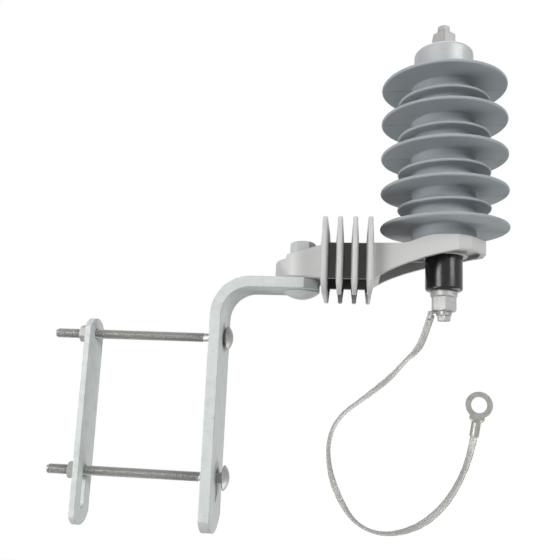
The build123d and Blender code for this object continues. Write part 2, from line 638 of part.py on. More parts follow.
def lug_frame():
    """Where the lug's barrel starts, and the way it leans."""
    a = radians(LUG_LEAN)
    return Vector(AXIS_X - LUG_REACH, 0, LUG_Z + LUG_T / 2), Vector(-sin(a), 0, -cos(a))


def ring_frame():
    """Centre of the ring terminal, and the way its barrel points."""
    a = radians(RING_LEAN)
    return Vector(RING_X, 0, RING_Z), Vector(-sin(a), 0, -cos(a))


def lead_points():
    """Route of the braid, from the bottom of one barrel's bore to the bottom of the other's."""
    lug, lug_way = lug_frame()
    ring_centre, ring_way = ring_frame()
    start = lug + lug_way * (LUG_BARREL_L - BARREL_DEPTH)
    end = ring_centre + ring_way * (RING_NECK_L + RING_BARREL_L - BARREL_DEPTH)
    hanging = [(173.5, 0, 54), (162.5, -0.5, 44), (151, -1.5, 30), (131, -3, 13.5), (109, -4.5, -3),
               (100, -5.5, -23.5), (102.5, -6, -49), (112, -5, -71), (125, -3.5, -88), (146, -2.5, -95),
               (172, -1.5, -88.5), (192, -1, -72.5), (205.5, -0.5, -52.5)]
    middle = [Vector(*p) for p in hanging]
    return [start, start + lug_way * FIRST_RUN] + middle + [end + ring_way * LAST_RUN, end]


def bend_radii(points):
    """Radius at each inner point: as large as its two runs allow."""
    radii = []
    for a, b, c in zip(points, points[1:], points[2:]):
        half_turn = radians((b - a).get_angle(c - b)) / 2
        radii.append(0.45 * min((b - a).length, (c - b).length) / tan(half_turn))
    return radii


def ground_braid():
    """Braid as a plain tube as wide as the flat braid."""
    points = lead_points()
    radii = bend_radii(points)
    path = FilletPolyline(*points, radius=radii)
    tube = sweep(Plane(origin=points[0], z_dir=points[1] - points[0]) * Circle(BRAID_W / 2), path)
    full = path.length * pi * (BRAID_W / 2) ** 2
    print("braid length", round(path.length, 1), "volume share", round(tube.volume / full, 4))
    print("radii", [round(r, 1) for r in radii])
    return tube


def braid_lug():
    """Tongue clamped under the ground terminal, bent down into a crimped barrel."""
    start, way = lug_frame()
    r = BRAID_W / 2 + BARREL_CLEAR + BARREL_WALL
    z1 = LUG_Z + LUG_T
    lug = cylinder(LUG_R, LUG_Z, z1, AXIS_X)
    lug += block(AXIS_X - LUG_REACH, AXIS_X, -LUG_NECK_W / 2, LUG_NECK_W / 2, LUG_Z, z1)
    lug += tube_along(start, way, LUG_BARREL_L, r) + Pos(start.X, 0, start.Z) * Sphere(r)
    lug -= block(AXIS_X - 40, AXIS_X, -20, 20, z1, z1 + 20)
    lug -= cylinder(SCREW_WASHER_D / 2 + HOLE_CLEAR, LUG_Z - 10, LUG_Z, AXIS_X)
    bore_start = start + way * (LUG_BARREL_L - BARREL_DEPTH)
    lug -= tube_along(bore_start, way, BARREL_DEPTH + 1, r - BARREL_WALL)
    return lug - cylinder(SCREW_D / 2 + HOLE_CLEAR / 2, LUG_Z - 1, z1 + 1, AXIS_X)


def ring_terminal():
    """Ring for an M12 earth bolt, necked into a crimped barrel."""
    r = BRAID_W / 2 + BARREL_CLEAR + BARREL_WALL
    z_neck = -RING_NECK_L
    z_mouth = z_neck - RING_BARREL_L
    body = Rot(90, 0, 0) * Cylinder(RING_R, RING_T)
    z_flat = -1.1 * RING_R
    half_w = 0.55 * RING_R
    flat = block(-half_w, half_w, -RING_T / 2, RING_T / 2, z_flat, -0.75 * RING_R)
    neck = loft([Plane.XY.offset(z_flat) * Rectangle(2 * half_w, RING_T), Plane.XY.offset(z_neck) * Circle(r)])
    body = body + flat + neck + cylinder(r, z_mouth, z_neck)
    body -= Rot(90, 0, 0) * Cylinder(RING_HOLE_R, 4 * RING_T)
    body -= cylinder(r - BARREL_WALL, z_mouth - 1, z_mouth + BARREL_DEPTH)
    return Pos(RING_X, 0, RING_Z) * Rot(0, RING_LEAN, 0) * body


def build_parts():
    """Every node by name."""
    parts = {
        "cross_arm_strap": cross_arm_strap(),
        "clamp_strap": clamp_strap(),
        "upper_carriage_bolt": rod(ROD_Z, UPPER_ROD_PROUD),
        "lower_carriage_bolt": rod(-ROD_Z, LOWER_ROD_PROUD),
        "upper_lock_washer": rod_lock_washer(ROD_Z, UPPER_LOCK_TURN),
        "lower_lock_washer": rod_lock_washer(-ROD_Z, LOWER_LOCK_TURN),
        "upper_hex_nut": rod_nut(ROD_Z, UPPER_NUT_TURN),
        "lower_hex_nut": rod_nut(-ROD_Z, LOWER_NUT_TURN),
        "arm_carriage_bolt": arm_carriage_bolt(),
        "arm_flat_washer": arm_flat_washer(),
        "arm_lock_washer": arm_lock_washer(),
        "arm_hex_nut": arm_hex_nut(),
        "insulating_arm": insulating_arm(),
        "polymer_housing": shed_housing(),
        "fibreglass_tube": fibreglass_tube(),
        "base_electrode": base_electrode(),
        "contact_plate": contact_plate(),
        "contact_springs": contact_springs(),
        "top_cap": top_cap(),
        "line_terminal_post": line_terminal_post(),
        "line_flat_washer": line_flat_washer(),
        "line_lock_washer": line_lock_washer(),
        "line_clamp_screw": hex_screw(CAP_TOP_Z + POST_H + SCREW_WASHER_T + SCREW_LOCK_T, 1),
        "mounting_stud": mounting_stud(),
        "disconnector_housing": disconnector_housing(),
        "disconnector_insert": disconnector_insert(),
        "grading_resistor": grading_resistor(),
        "release_cartridge": release_cartridge(),
        "ground_stud": ground_stud(),
        "ground_collar": ground_collar(),
        "ground_terminal_nut": ground_terminal_nut(),
        "ground_clamp_washer": ground_clamp_washer(),
        "ground_clamp_screw": hex_screw(LUG_Z - SCREW_WASHER_T, -1),
        "braid_lug": braid_lug(),
        "ground_braid": ground_braid(),
        "ring_terminal": ring_terminal(),
    }
    for i in range(DISC_COUNT):
        parts[f"varistor_disc_{i + 1}"] = varistor_disc(i)
    return parts


os.makedirs("parts", exist_ok=True)
for name, shape in build_parts().items():
    export_step(shape, f"parts/{name}.step")
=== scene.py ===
import json
from math import atan2, cos, pi, radians, sin

import bmesh
import bpy
from mathutils import Matrix, Vector


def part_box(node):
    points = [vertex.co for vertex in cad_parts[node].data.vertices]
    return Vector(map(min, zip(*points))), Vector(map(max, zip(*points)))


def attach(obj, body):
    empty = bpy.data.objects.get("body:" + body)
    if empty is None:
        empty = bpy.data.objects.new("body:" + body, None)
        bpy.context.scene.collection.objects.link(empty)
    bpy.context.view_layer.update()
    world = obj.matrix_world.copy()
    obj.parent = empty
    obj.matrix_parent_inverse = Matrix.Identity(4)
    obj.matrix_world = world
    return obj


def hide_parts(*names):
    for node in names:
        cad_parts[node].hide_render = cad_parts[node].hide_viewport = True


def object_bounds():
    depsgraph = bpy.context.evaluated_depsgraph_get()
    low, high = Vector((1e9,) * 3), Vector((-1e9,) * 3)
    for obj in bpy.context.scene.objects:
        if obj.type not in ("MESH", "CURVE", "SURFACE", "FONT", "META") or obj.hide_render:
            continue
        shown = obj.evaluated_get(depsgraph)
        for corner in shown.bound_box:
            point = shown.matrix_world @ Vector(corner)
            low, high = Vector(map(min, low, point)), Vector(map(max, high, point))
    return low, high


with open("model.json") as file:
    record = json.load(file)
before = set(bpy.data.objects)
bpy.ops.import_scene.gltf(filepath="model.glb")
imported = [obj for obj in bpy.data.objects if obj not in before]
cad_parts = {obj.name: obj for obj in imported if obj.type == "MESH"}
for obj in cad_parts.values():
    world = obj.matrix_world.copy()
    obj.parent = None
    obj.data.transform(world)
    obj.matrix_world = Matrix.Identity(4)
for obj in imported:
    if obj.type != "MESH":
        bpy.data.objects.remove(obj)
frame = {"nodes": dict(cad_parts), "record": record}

CAD_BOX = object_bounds()
NODES = frame["nodes"]
MM = 0.001

# --- sizes worked out from the frame ---
HOUSING_LOW, HOUSING_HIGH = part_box("polymer_housing")
AXIS_X = (HOUSING_LOW[0] + HOUSING_HIGH[0]) / 2


# --- camera, light and ground ---
CAMERA_PLACE = (0.1187, -0.5596, 0.0129)
CAMERA_YAW, CAMERA_PITCH, CAMERA_ROLL = radians(6.50), radians(9.77), radians(2.39)
SENSOR_WIDTH, FOCAL_LENGTH = 36, 42.39

# soft boxes: name, place, the point it is aimed at, side in metres, power in watts
LAMPS = [
    ("right_box", (1.15, -0.95, 0.68), (0.17, 0, 0.15), 0.65, 13.5),
    ("under_box", (1.2, 0.55, -0.9), (0.19, 0, 0.2), 1.0, 12),
    ("low_box", (-1.0, -0.6, -0.7), (0.19, 0, 0.2), 0.5, 9),
    ("left_box", (-0.95, -1.4, 0.25), (0.12, 0, 0.12), 0.75, 19),
    ("top_box", (0.2, 0.2, 1.9), (0.1, 0, 0.1), 1.3, 9),
]

# studio light on the object: strength from below and from above, and the slopes where it changes
LIGHT_BELOW, LIGHT_ABOVE = 0.13, 0.28
SLOPE_BELOW, SLOPE_ABOVE = -0.6, 0.8
LIGHT_COLOUR = (0.97, 0.99, 1, 1)
WHITE = (1, 1, 1, 1)

FLOOR_DROP, FLOOR_HALF_SIDE = 1.6, 6
FLOOR_GREY, FLOOR_GLOW = 0.25, 0.9


def add_camera():
    """Camera a little below the arm, looking up at the arrester."""
    yaw, pitch, roll = CAMERA_YAW, CAMERA_PITCH, CAMERA_ROLL
    ahead = Vector((-sin(yaw) * cos(pitch), cos(yaw) * cos(pitch), sin(pitch)))
    level = Vector((cos(yaw), sin(yaw), 0))
    up = level.cross(ahead)
    right = cos(roll) * level + sin(roll) * up
    up = cos(roll) * up - sin(roll) * level
    lens = bpy.data.cameras.new("camera")
    lens.sensor_width = SENSOR_WIDTH
    lens.lens = FOCAL_LENGTH
    lens.clip_start = 0.01
    camera = bpy.data.objects.new("camera", lens)
    bpy.context.scene.collection.objects.link(camera)
    turn = Matrix((right, up, -ahead)).transposed().to_4x4()
    camera.matrix_world = Matrix.Translation(CAMERA_PLACE) @ turn
    bpy.context.scene.camera = camera


def add_lamp(name, place, target, size, power):
    """Square soft box aimed at a point."""
    data = bpy.data.lights.new(name, "AREA")
    data.size = size
    data.energy = power
    lamp = bpy.data.objects.new(name, data)
    bpy.context.scene.collection.objects.link(lamp)
    aim = Vector(target) - Vector(place)
    lamp.matrix_world = Matrix.Translation(place) @ aim.to_track_quat("-Z", "Y").to_matrix().to_4x4()


def shown_rays(tree):
    """1 for rays from the eye and for those that mirrors and glass send on."""
    path = tree.nodes.new("ShaderNodeLightPath")
    total = path.outputs["Is Camera Ray"]
    for name in ("Is Glossy Ray", "Is Transmission Ray"):
        larger = tree.nodes.new("ShaderNodeMath")
        larger.operation = "MAXIMUM"
        tree.links.new(total, larger.inputs[0])
        tree.links.new(path.outputs[name], larger.inputs[1])
        total = larger.outputs[0]
    return total


def add_world():
    """White studio: plain white to the eye and in reflections, softer light on the object."""
    world = bpy.data.worlds.new("studio")
    bpy.context.scene.world = world
    world.use_nodes = True
    tree = world.node_tree
    tree.nodes.clear()
    seen = tree.nodes.new("ShaderNodeBackground")
    seen.inputs["Color"].default_value = WHITE
    light = tree.nodes.new("ShaderNodeBackground")
    light.inputs["Color"].default_value = LIGHT_COLOUR
    way = tree.nodes.new("ShaderNodeTexCoord")
    split = tree.nodes.new("ShaderNodeSeparateXYZ")
    height = tree.nodes.new("ShaderNodeMapRange")
    height.inputs["From Min"].default_value = SLOPE_BELOW
    height.inputs["From Max"].default_value = SLOPE_ABOVE
    height.inputs["To Min"].default_value = LIGHT_BELOW
    height.inputs["To Max"].default_value = LIGHT_ABOVE
    mix = tree.nodes.new("ShaderNodeMixShader")
    out = tree.nodes.new("ShaderNodeOutputWorld")
    tree.links.new(way.outputs["Generated"], split.inputs[0])
    tree.links.new(split.outputs["Z"], height.inputs["Value"])
    tree.links.new(height.outputs[0], light.inputs["Strength"])
    tree.links.new(shown_rays(tree), mix.inputs[0])
    tree.links.new(light.outputs[0], mix.inputs[1])
    tree.links.new(seen.outputs[0], mix.inputs[2])
    tree.links.new(mix.outputs[0], out.inputs["Surface"])


def floor_paint():
    """Matt paint that also glows to the eye, so that the floor is near white and keeps its shadows."""
    paint = bpy.data.materials.new("floor_paint")
    paint.use_nodes = True
    tree = paint.node_tree
    tree.nodes.clear()
    matt = tree.nodes.new("ShaderNodeBsdfDiffuse")
    matt.inputs["Color"].default_value = (FLOOR_GREY, FLOOR_GREY, FLOOR_GREY, 1)
    glow = tree.nodes.new("ShaderNodeEmission")
    glow.inputs["Color"].default_value = WHITE
    glow.inputs["Strength"].default_value = FLOOR_GLOW
    lit = tree.nodes.new("ShaderNodeAddShader")
    mix = tree.nodes.new("ShaderNodeMixShader")
    out = tree.nodes.new("ShaderNodeOutputMaterial")
    tree.links.new(matt.outputs[0], lit.inputs[0])
    tree.links.new(glow.outputs[0], lit.inputs[1])
    tree.links.new(shown_rays(tree), mix.inputs[0])
    tree.links.new(matt.outputs[0], mix.inputs[1])
    tree.links.new(lit.outputs[0], mix.inputs[2])
    tree.links.new(mix.outputs[0], out.inputs["Surface"])
    return paint


def add_ground():
    """Pale floor far below the hanging lead."""
    bm = bmesh.new()
    bmesh.ops.create_grid(bm, x_segments=1, y_segments=1, size=FLOOR_HALF_SIDE)
    bmesh.ops.translate(bm, vec=(AXIS_X, 0, CAD_BOX[0][2] - FLOOR_DROP), verts=bm.verts)
    mesh = bpy.data.meshes.new("floor")
    bm.to_mesh(mesh)
    bm.free()
    floor = bpy.data.objects.new("floor", mesh)
    bpy.context.scene.collection.objects.link(floor)
    mesh.materials.append(floor_paint())


# --- finishes ---
NOISE_ROUGHNESS, EDGE_SAMPLES = 0.55, 6
NOISE_LOW, NOISE_HIGH = 0.35, 0.65
BAND_EDGE = 1.5 * MM

# half widths of the parting line's ridge and of the painted shadow line along it
PARTING_RIDGE, PARTING_SHADE = 0.35 * MM, 0.6 * MM

# the arm's core between its fins, darkened with painted shade: low and high on each axis
CORE_X = (92.6 * MM, 133 * MM)
CORE_Y = (-31.5 * MM, 31.5 * MM)
CORE_Z = (104 * MM, 141 * MM)


class Finish:
    """A Principled material with a few steps for mottling, relief, dirt and painted shade in object space.
    """

    def __init__(self, name, colour, roughness, metallic=0.0, specular=0.5):
        self.material = bpy.data.materials.new(name)
        self.material.use_nodes = True
        self.tree = self.material.node_tree
        self.shader = self.tree.nodes["Principled BSDF"]
        self.colour = (*colour, 1)
        self.shader.inputs["Base Color"].default_value = self.colour
        self.shader.inputs["Roughness"].default_value = roughness
        self.shader.inputs["Metallic"].default_value = metallic
        self.shader.inputs["Specular IOR Level"].default_value = specular
        self.place = self.add("ShaderNodeTexCoord").outputs["Object"]
        self.shade = None
        self.relief = None

    def add(self, kind, **values):
        """Adds a node and sets its inputs by name, with _ for a space."""
        made = self.tree.nodes.new(kind)
        for key, value in values.items():
            made.inputs[key.replace("_", " ")].default_value = value
        return made

    def link(self, source, target):
        """Joins an output to an input."""
        self.tree.links.new(source, target)

    def times(self, first, second):
        """Product of two patterns."""
        made = self.add("ShaderNodeMath")
        made.operation = "MULTIPLY"
        self.link(first, made.inputs[0])
        self.link(second, made.inputs[1])
        return made.outputs[0]

    def noise(self, size, detail=3.0, stretch=(1, 1, 1)):
        """Cloudy pattern with lumps about size metres across, finer along an axis with a larger stretch."""
        mapping = self.add("ShaderNodeMapping", Scale=stretch)
        self.link(self.place, mapping.inputs["Vector"])
        made = self.add("ShaderNodeTexNoise", Scale=1 / size, Detail=detail,
                        Roughness=NOISE_ROUGHNESS)
        self.link(mapping.outputs[0], made.inputs["Vector"])
        return made.outputs["Fac"]

    def spangle(self, size):
        """Crystal cells about size metres across, each with its own tone."""
        made = self.add("ShaderNodeTexVoronoi", Scale=1 / size)
        self.link(self.place, made.inputs["Vector"])
        tone = self.add("ShaderNodeSeparateColor")
        self.link(made.outputs["Color"], tone.inputs[0])
        return tone.outputs[0]

    def spread(self, source, low, high, to_low, to_high):
        """Pattern value mapped to another range, clamped."""
        made = self.add("ShaderNodeMapRange", From_Min=low, From_Max=high, To_Min=to_low, To_Max=to_high)
        self.link(source, made.inputs["Value"])
        return made.outputs[0]

    def tint(self, factor, colour):
        """Blends the colour so far toward another where factor is 1."""
        mix = self.add("ShaderNodeMix")
        mix.data_type = "RGBA"
        if self.shade is None:
            mix.inputs[6].default_value = self.colour
        else:
            self.link(self.shade, mix.inputs[6])
        mix.inputs[7].default_value = (*colour, 1)
        self.link(factor, mix.inputs[0])
        self.shade = mix.outputs[2]
        self.link(self.shade, self.shader.inputs["Base Color"])

    def mottle(self, colour, pattern, start, full, most):
        """Tints where a pattern passes start, to the share most of the colour where it reaches full."""
        self.tint(self.spread(pattern, start, full, 0, most), colour)

    def rough(self, source, low, high):
        """Roughness that follows a pattern."""
        self.link(self.spread(source, NOISE_LOW, NOISE_HIGH, low, high), self.shader.inputs["Roughness"])

    def soften(self, radius):
        """Sharp edges shaded as if eased by a radius in metres."""
        eased = self.add("ShaderNodeBevel", Radius=radius)
        eased.samples = EDGE_SAMPLES
        self.relief = eased.outputs[0]
        self.link(self.relief, self.shader.inputs["Normal"])

    def bump(self, height, distance):
        """Surface relief from a pattern, distance metres high."""
        made = self.add("ShaderNodeBump", Strength=1.0, Distance=distance)
        self.link(height, made.inputs["Height"])
        if self.relief is not None:
            self.link(self.relief, made.inputs["Normal"])
        self.relief = made.outputs[0]
        self.link(self.relief, self.shader.inputs["Normal"])

    def away(self, axis, centre):
        """Distance in metres from the plane where the axis equals centre."""
        split = self.add("ShaderNodeSeparateXYZ")
        self.link(self.place, split.inputs[0])
        past = self.add("ShaderNodeMath")
        past.operation = "SUBTRACT"
        past.inputs[1].default_value = centre
        self.link(split.outputs[axis], past.inputs[0])
        size = self.add("ShaderNodeMath")
        size.operation = "ABSOLUTE"
        self.link(past.outputs[0], size.inputs[0])
        return size.outputs[0]

    def band(self, axis, low, high):
        """1 between two planes across an axis, 0 outside, with a soft edge."""
        half = (high - low) / 2
        return self.spread(self.away(axis, (low + high) / 2), half - BAND_EDGE, half, 1, 0)

    def near_plane(self, axis, centre, half_width):
        """1 on the plane where the axis equals centre, falling to 0 at half_width."""
        return self.spread(self.away(axis, centre), 0, half_width, 1, 0)


def silicone_finish():
    """Matt blue-grey silicone rubber with a mould parting line, a painted shadow line along it, and a
    little handling dust.
    """
    f = Finish("silicone_rubber", (0.325, 0.355, 0.375), 0.5, specular=0.12)
    f.mottle((0.37, 0.40, 0.415), f.noise(18 * MM, 4), 0.35, 0.7, 0.5)
    f.mottle((0.41, 0.435, 0.445), f.noise(3 * MM, 2), 0.58, 0.78, 0.3)
    f.rough(f.noise(10 * MM, 3), 0.42, 0.56)
    f.bump(f.noise(1.2 * MM, 2), 0.02 * MM)
    f.bump(f.near_plane("Y", 0, PARTING_RIDGE), 0.25 * MM)
    # painted shadow: a darker line along the parting ridge, standing in for the ridge's shadow
    f.tint(f.near_plane("Y", 0, PARTING_SHADE), (0.17, 0.185, 0.195))
    return f.material


def arm_finish():
    """Light grey glass-filled moulding: fine orange peel, faint flow marks, painted shade between the fins.
    """
    f = Finish("arm_moulding", (0.53, 0.53, 0.52), 0.4, specular=0.3)
    f.soften(0.9 * MM)
    f.mottle((0.47, 0.47, 0.46), f.noise(30 * MM, 4, (0.4, 1, 1)), 0.35, 0.7, 0.5)
    f.mottle((0.60, 0.60, 0.59), f.noise(1.1 * MM, 2), 0.6, 0.8, 0.3)
    # painted shade: the core between the fins is tinted near black where light does not reach
    core = f.times(f.times(f.band("X", *CORE_X), f.band("Y", *CORE_Y)), f.band("Z", *CORE_Z))
    f.tint(core, (0.12, 0.12, 0.117))
    f.rough(f.noise(6 * MM, 3), 0.34, 0.46)
    f.bump(f.noise(0.8 * MM, 2), 0.02 * MM)
    return f.material


def galvanised_finish():
    """Hot-dip zinc: soft spangle, slight runs and dull patches."""
    f = Finish("galvanised_zinc", (0.52, 0.55, 0.54), 0.55, metallic=0.08, specular=0.1)
    f.soften(1.2 * MM)
    f.mottle((0.60, 0.62, 0.61), f.spangle(6 * MM), 0.1, 0.9, 0.35)
    f.mottle((0.42, 0.445, 0.435), f.noise(12 * MM, 5), 0.5, 0.72, 0.5)
    f.mottle((0.33, 0.345, 0.34), f.noise(3.5 * MM, 4), 0.62, 0.74, 0.5)
    f.rough(f.noise(4 * MM, 4), 0.48, 0.62)
    f.bump(f.noise(1.6 * MM, 4), 0.03 * MM)
    return f.material


def plated_finish():
    """Zinc-plated rods and nuts: smoother and darker, with handling marks."""
    f = Finish("plated_steel", (0.305, 0.305, 0.29), 0.4, metallic=0.7)
    f.soften(0.4 * MM)
    f.mottle((0.28, 0.28, 0.265), f.noise(4 * MM, 4), 0.45, 0.7, 0.45)
    f.rough(f.noise(4 * MM, 2), 0.36, 0.48)
    f.bump(f.noise(3 * MM, 2), 0.02 * MM)
    return f.material


def cap_finish():
    """Turned aluminium: faint rings round the axis and a dull oxide."""
    f = Finish("cap_aluminium", (0.41, 0.42, 0.425), 0.5, metallic=0.35)
    f.mottle((0.35, 0.36, 0.36), f.noise(6 * MM, 4), 0.5, 0.75, 0.35)
    f.rough(f.noise(4 * MM, 3, (0.3, 0.3, 4)), 0.44, 0.56)
    f.bump(f.noise(0.6 * MM, 1, (0.02, 0.02, 1)), 0.01 * MM)
    return f.material


def stainless_finish():
    """Turned steel terminals with a satin shine."""
    f = Finish("bright_steel", (0.34, 0.34, 0.335), 0.45, metallic=0.35)
    f.soften(0.9 * MM)
    f.mottle((0.26, 0.26, 0.255), f.noise(3 * MM, 3), 0.5, 0.75, 0.35)
    f.rough(f.noise(3 * MM, 2), 0.4, 0.52)
    f.bump(f.noise(2 * MM, 1), 0.01 * MM)
    return f.material


def black_finish():
    """Glossy black moulding with a slight waviness."""
    f = Finish("disconnector_black", (0.005, 0.005, 0.006), 0.22, specular=0.38)
    f.mottle((0.009, 0.009, 0.010), f.noise(4 * MM, 3), 0.55, 0.8, 0.5)
    f.rough(f.noise(6 * MM, 3), 0.18, 0.28)
    f.bump(f.noise(8 * MM, 2), 0.04 * MM)
    return f.material


def lug_finish():
    """Tinned copper terminals, dull grey with a warm cast."""
    f = Finish("tinned_terminal", (0.28, 0.285, 0.255), 0.42, metallic=0.75)
    f.mottle((0.31, 0.315, 0.285), f.noise(3 * MM, 4), 0.45, 0.7, 0.5)
    f.rough(f.noise(3 * MM, 3), 0.36, 0.5)
    f.bump(f.noise(2 * MM, 3), 0.02 * MM)
    return f.material


def braid_finish():
    """Tinned copper strands."""
    f = Finish("tinned_strands", (0.36, 0.36, 0.34), 0.45, metallic=0.5)
    f.mottle((0.25, 0.25, 0.235), f.noise(1.5 * MM, 3), 0.45, 0.7, 0.6)
    f.rough(f.noise(1 * MM, 2), 0.34, 0.5)
    f.bump(f.noise(0.3 * MM, 1), 0.02 * MM)
    return f.material


def plain_inner_finish(name, colour, roughness, metallic=0.0):
    """Finish for what the housing hides."""
    f = Finish(name, colour, roughness, metallic)
    f.rough(f.noise(3 * MM, 3), 0.85 * roughness, 1.2 * roughness)
    f.bump(f.noise(1 * MM, 2), 0.03 * MM)
    return f.material


def dress_nodes():
    """Gives every CAD node the finish of its material slot."""
    finishes = {
        "silicone": silicone_finish(),
        "arm_moulding": arm_finish(),
        "galvanised": galvanised_finish(),
        "plated": plated_finish(),
        "cap_alloy": cap_finish(),
        "stainless": stainless_finish(),
        "disconnector_black": black_finish(),
        "braid_tinned": braid_finish(),
        "tinned_lug": lug_finish(),
        "fibreglass": plain_inner_finish("fibreglass_tube", (0.62, 0.55, 0.30), 0.5),
        "varistor_ceramic": plain_inner_finish("varistor_ceramic", (0.02, 0.02, 0.022), 0.45),
        "electrode_alloy": plain_inner_finish("electrode_aluminium", (0.55, 0.56, 0.56), 0.35, 0.9),
        "spring_steel": plain_inner_finish("spring_steel", (0.2, 0.2, 0.21), 0.35, 0.9),
        "resistor_body": plain_inner_finish("resistor_ceramic", (0.10, 0.05, 0.035), 0.6),
        "cartridge_brass": plain_inner_finish("cartridge_brass", (0.50, 0.33, 0.10), 0.35, 0.9),
    }
    for part in frame["record"]["subparts"]:
        node = NODES[part["node"]]
        node.data.materials.clear()
        node.data.materials.append(finishes[part["material_slot"]])
    return finishes


# --- making pieces ---
def finish_piece(bm, name, material, stands_for, smooth_angle=35):
    """Turns a bmesh into a shown piece in the shared frame, in place of a CAD node."""
    mesh = bpy.data.meshes.new(name)
    bm.normal_update()
    bm.to_mesh(mesh)
    bm.free()
    mesh.materials.append(material)
    mesh.shade_smooth()
    mesh.set_sharp_from_angle(angle=radians(smooth_angle))
    piece = bpy.data.objects.new(name, mesh)
    bpy.context.scene.collection.objects.link(piece)
    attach(piece, "root")
    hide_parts(stands_for)
    return piece


def merge(bm, part):
    """Adds one bmesh to another and frees it."""
    mesh = bpy.data.meshes.new("part")
    part.to_mesh(mesh)
    part.free()
    bm.from_mesh(mesh)
    bpy.data.meshes.remove(mesh)


def lathe(bm, outline, steps):
    """Solid of revolution about Z from (radius, height) points that close on the axis or on themselves."""
    verts = [bm.verts.new((r, 0, z)) for r, z in outline]
    edges = [bm.edges.new(pair) for pair in zip(verts, verts[1:])]
    bmesh.ops.spin(bm, geom=verts + edges, cent=(0, 0, 0), axis=(0, 0, 1), angle=2 * pi, steps=steps,
                   use_merge=True)
    bmesh.ops.remove_doubles(bm, verts=bm.verts, dist=1e-7)
    bmesh.ops.recalc_face_normals(bm, faces=bm.faces)


def arc(centre, radius, start, end, count):
    """Points on an arc in the (radius, height) plane, angles in degrees."""
    turns = [radians(start + (end - start) * i / count) for i in range(count + 1)]
    return [(centre[0] + radius * cos(a), centre[1] + radius * sin(a)) for a in turns]


def lay_along(way):
    """Matrix that turns +Z toward the given way."""
    return Vector(way).normalized().to_track_quat("Z", "Y").to_matrix().to_4x4()


# --- housing ---
BORE_R, TRUNK_R = 22 * MM, 27 * MM
SHED_R, SMALL_SHED_R = (HOUSING_HIGH[0] - HOUSING_LOW[0]) / 2, 39.4 * MM
SHED_COUNT, SHED_PITCH, FIRST_SHED = 5, 32 * MM, 10 * MM
SHED_RIM, SHED_RISE = 3 * MM, 4.5 * MM
SMALL_SHED_UP, SMALL_SHED_RIM, SMALL_SHED_RISE = 17.4 * MM, 2.8 * MM, 2.8 * MM
UNDERSIDE_RISE = 0.7 * MM
UNDER_ROOT_R, TOP_ROOT_R = 2 * MM, 4 * MM
FOOT_CHAMFER, NECK_CHAMFER = 0.6 * MM, 0.8 * MM
HOUSING_STEPS = 128


def shed_outline(rim_r, z, rim, rise):
    """One shed from its underside at the trunk, round the rim, to its top at the trunk.

    The arcs' end angles leave the flanks their slopes.
    """
    nose = rim / 2
    under_root = (TRUNK_R + UNDER_ROOT_R, z + UNDERSIDE_RISE - UNDER_ROOT_R)
    top_root = (TRUNK_R + TOP_ROOT_R, z + rim + rise + TOP_ROOT_R)
    under = arc(under_root, UNDER_ROOT_R, 180, 90, 4)
    lower = arc((rim_r - nose, z + nose), nose, -80, 0, 5)
    upper = arc((rim_r - nose, z + nose), nose, 0, 74, 5)[1:]
    top = arc(top_root, TOP_ROOT_R, 262, 180, 5)
    return under + lower + upper + top


def add_housing(material):
    """Silicone housing: trunk with large and small sheds in turn, rims rounded, roots filleted."""
    low, high = HOUSING_LOW[2], HOUSING_HIGH[2]
    outline = [(BORE_R, low), (TRUNK_R - FOOT_CHAMFER, low), (TRUNK_R, low + FOOT_CHAMFER)]
    for i in range(SHED_COUNT):
        z = low + FIRST_SHED + i * SHED_PITCH
        outline += shed_outline(SHED_R, z, SHED_RIM, SHED_RISE)
        if i < SHED_COUNT - 1:
            outline += shed_outline(SMALL_SHED_R, z + SMALL_SHED_UP, SMALL_SHED_RIM, SMALL_SHED_RISE)
    outline += [(TRUNK_R, high - NECK_CHAMFER), (TRUNK_R - NECK_CHAMFER, high)]
    outline += [(BORE_R, high), (BORE_R, low)]
    bm = bmesh.new()
    lathe(bm, outline, HOUSING_STEPS)
    bmesh.ops.translate(bm, vec=(AXIS_X, 0, 0), verts=bm.verts)
    finish_piece(bm, "housing_moulding", material, "polymer_housing", smooth_angle=50)


# --- bolts ---
ROD = {"head_h": 5 * MM, "r": 4 * MM, "neck": 6 * MM, "plain_to": 20 * MM, "pitch": 1.25 * MM}
ARM_BOLT = {"head_h": 6.8 * MM, "r": 6 * MM, "neck": 7.5 * MM, "plain_to": 20 * MM, "pitch": 1.75 * MM}
HEAD_STEPS, SHANK_STEPS, CORE_STEPS, THREAD_STEPS, DOME_STEPS = 64, 40, 32, 28, 8

# the head's straight rim as a share of its height, its eased edge, and the neck's corners as a share of r
HEAD_RIM, HEAD_EDGE, NECK_CORNER = 0.18, 0.3 * MM, 0.12

# thread form, in pitches: depth, start and end of the crest, and foot of its flank
THREAD_DEPTH, CREST_START, CREST_END, THREAD_FOOT = 0.58, 0.40, 0.56, 0.96

# in pitches: the core's tapered end, and how far the plain shank and its shoulder lie inside the thread
END_TAPER, END_INSET = 0.9, 0.18
SHANK_INSET, SHOULDER_INSET, SHOULDER_LENGTH = 0.35, 0.65, 0.5


def domed_head(bm, radius, height):
    """Mushroom head below Z = 0."""
    rise = height - HEAD_RIM * height
    ball = (radius ** 2 + rise ** 2) / (2 * rise)
    half = atan2(radius, ball - rise)
    angles = [half * i / DOME_STEPS for i in range(DOME_STEPS, -1, -1)]
    dome = [(ball * sin(a), ball - height - ball * cos(a)) for a in angles]
    lathe(bm, [(0, 0), (radius - HEAD_EDGE, 0), (radius, -HEAD_EDGE)] + dome, HEAD_STEPS)


